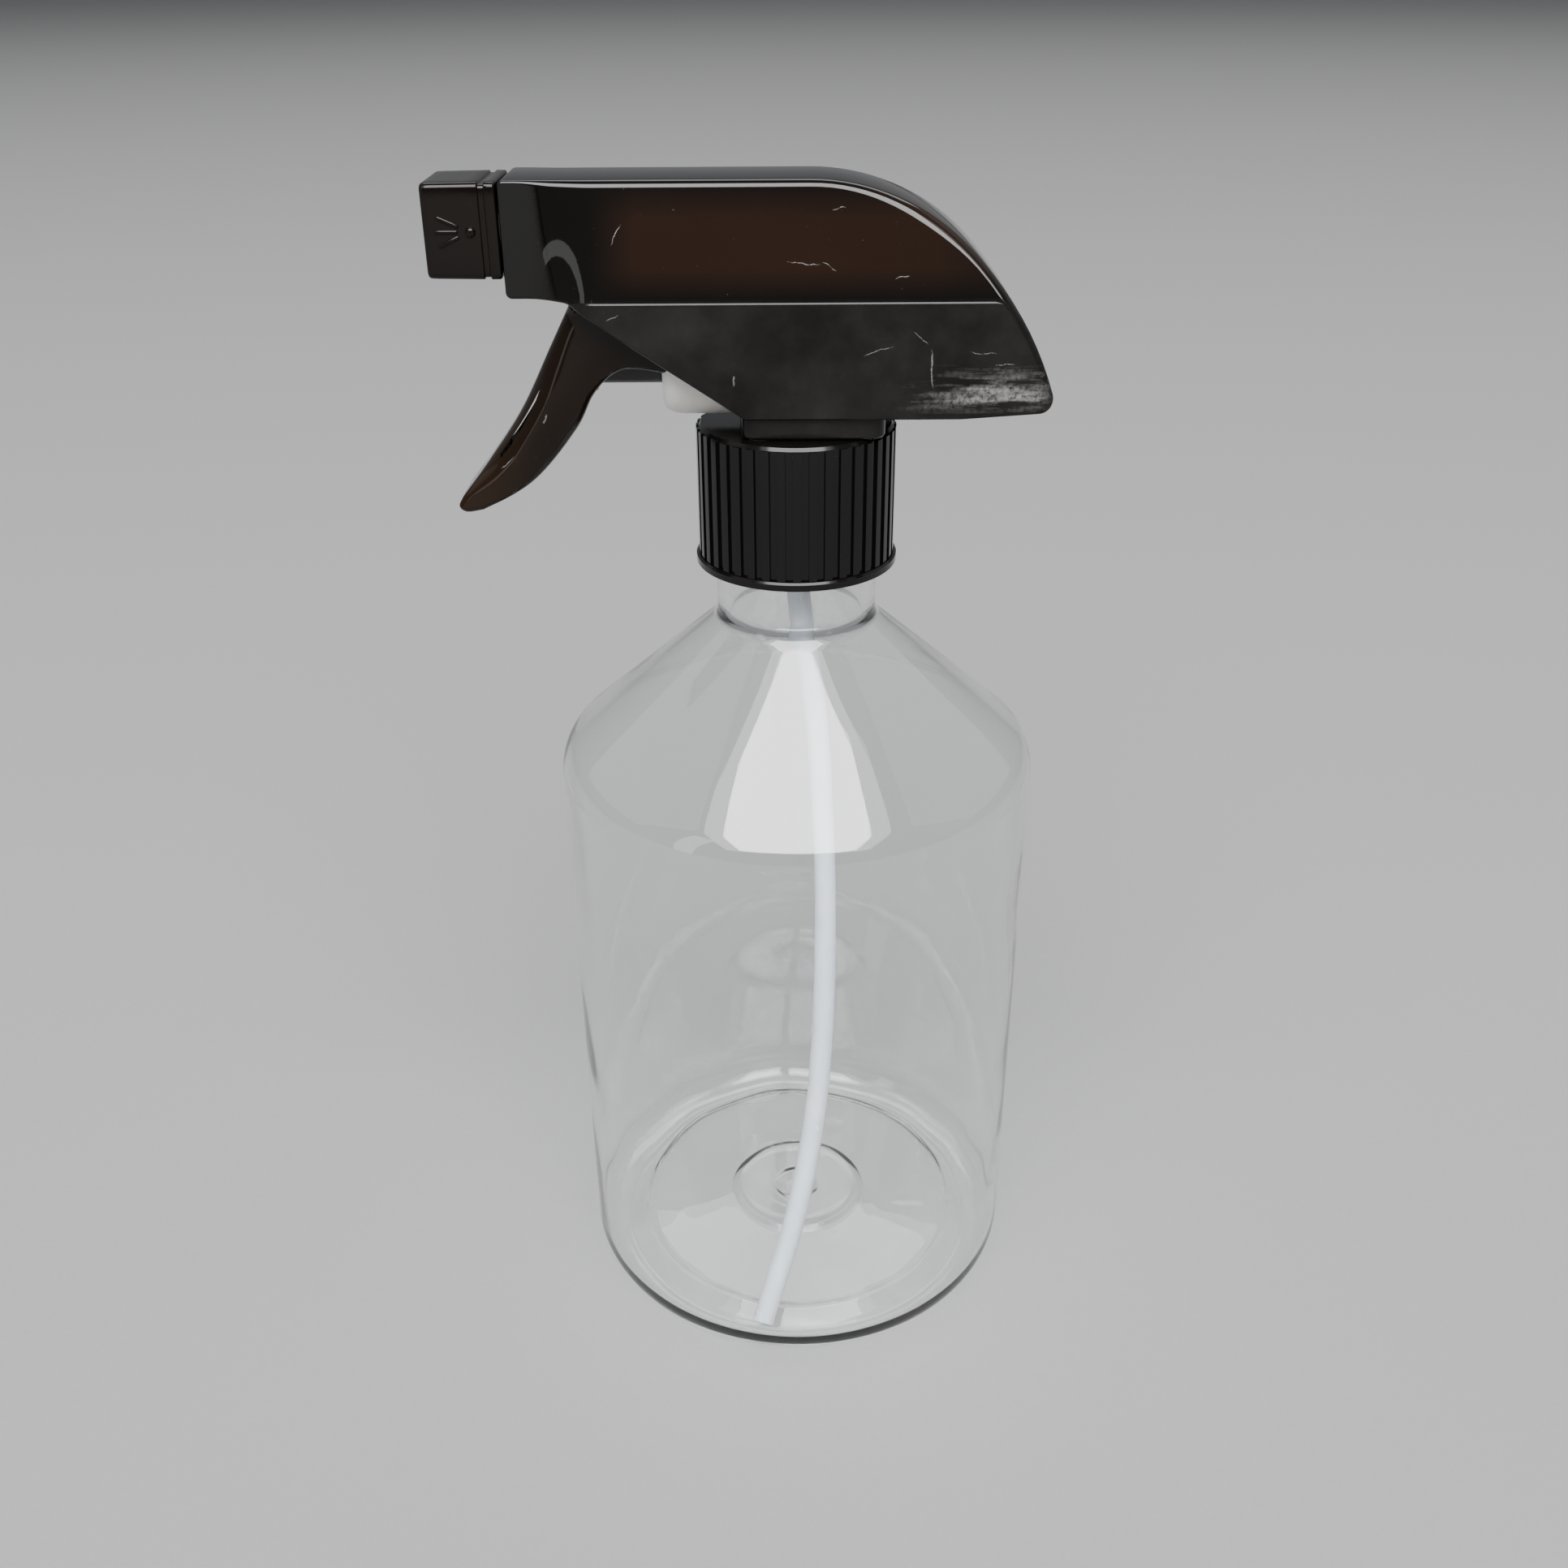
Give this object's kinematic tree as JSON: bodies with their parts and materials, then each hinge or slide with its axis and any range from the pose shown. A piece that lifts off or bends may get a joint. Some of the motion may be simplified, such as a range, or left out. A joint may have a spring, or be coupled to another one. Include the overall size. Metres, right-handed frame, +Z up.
{
  "type": "trigger spray bottle",
  "caption": "Clear round bottle with a black ribbed screw closure and a black trigger spray head with hood, trigger, square nozzle and curved dip tube.",
  "frame": {"origin": "centre of the bottle's standing ring, on the surface that it stands on", "axes": "+Z up along the bottle's axis, -X along the spray from the nozzle, +Y to the side"},
  "size_m": [0.0929, 0.0798, 0.1974],
  "materials": {
    "bottle_pet": "clear, glossy",
    "closure_pp": "black, satin",
    "gasket_pe": "white foam",
    "natural_pp": "natural, milky",
    "tube_pe": "milky, translucent",
    "ball_steel": "polished",
    "shroud_pp": "black, glossy",
    "trigger_pp": "black, glossy",
    "nozzle_pp": "black, glossy",
    "piston_pe": "black, satin",
    "seal_rubber": "matt",
    "spring_steel": "drawn wire"
  },
  "bodies": {
    "bottle": {"bottle": "bottle_pet"},
    "head": {"pump_body": "natural_pp", "shroud": "shroud_pp", "tube_retainer": "natural_pp", "gasket": "gasket_pe", "dip_tube": "tube_pe", "swirl_insert": "natural_pp", "return_spring": "spring_steel"},
    "closure": {"closure": "closure_pp"},
    "trigger": {"trigger": "trigger_pp"},
    "piston": {"piston": "piston_pe", "piston_seal": "seal_rubber"},
    "nozzle": {"nozzle": "nozzle_pp"},
    "inlet_ball": {"inlet_ball": "ball_steel"},
    "outlet_valve": {"outlet_valve": "seal_rubber"}
  },
  "joints": [
    {"name": "head_lift", "type": "slide", "parent": "bottle", "child": "head", "axis": [0, 0, 1], "range_m": [0, 0.00635]},
    {"name": "closure_turn", "type": "hinge", "parent": "head", "child": "closure", "pos_m": [0, 0, 0.15], "axis": [0, 0, 1], "range_deg": [0, 540.5]},
    {"name": "trigger_pull", "type": "hinge", "parent": "head", "child": "trigger", "pos_m": [-0.029, 0, 0.1845], "axis": [0, -1, 0], "range_deg": [0, 27], "stiffness_Nm_per_rad": 0.175, "springref_deg": -15.47},
    {"name": "piston_slide", "type": "slide", "parent": "head", "child": "piston", "axis": [1, 0, 0], "range_m": [0, 0.00696], "deforming": ["return_spring"]},
    {"name": "nozzle_turn", "type": "hinge", "parent": "head", "child": "nozzle", "pos_m": [-0.048, 0, 0.1905], "axis": [1, 0, 0], "continuous": true},
    {"name": "inlet_ball_lift", "type": "slide", "parent": "head", "child": "inlet_ball", "axis": [0, 0, 1], "range_m": [0, 0.0012]},
    {"name": "outlet_valve_lift", "type": "slide", "parent": "head", "child": "outlet_valve", "axis": [-1, 0, 0], "range_m": [0, 0.0008], "stiffness_N_per_m": 50, "springref_m": -0.0004}
  ],
  "couplings": [
    {"joint": "trigger_pull", "follows": "piston_slide", "rad_per_m": 67.663},
    {"joint": "closure_turn", "follows": "head_lift", "rad_per_m": 1484.2}
  ]
}
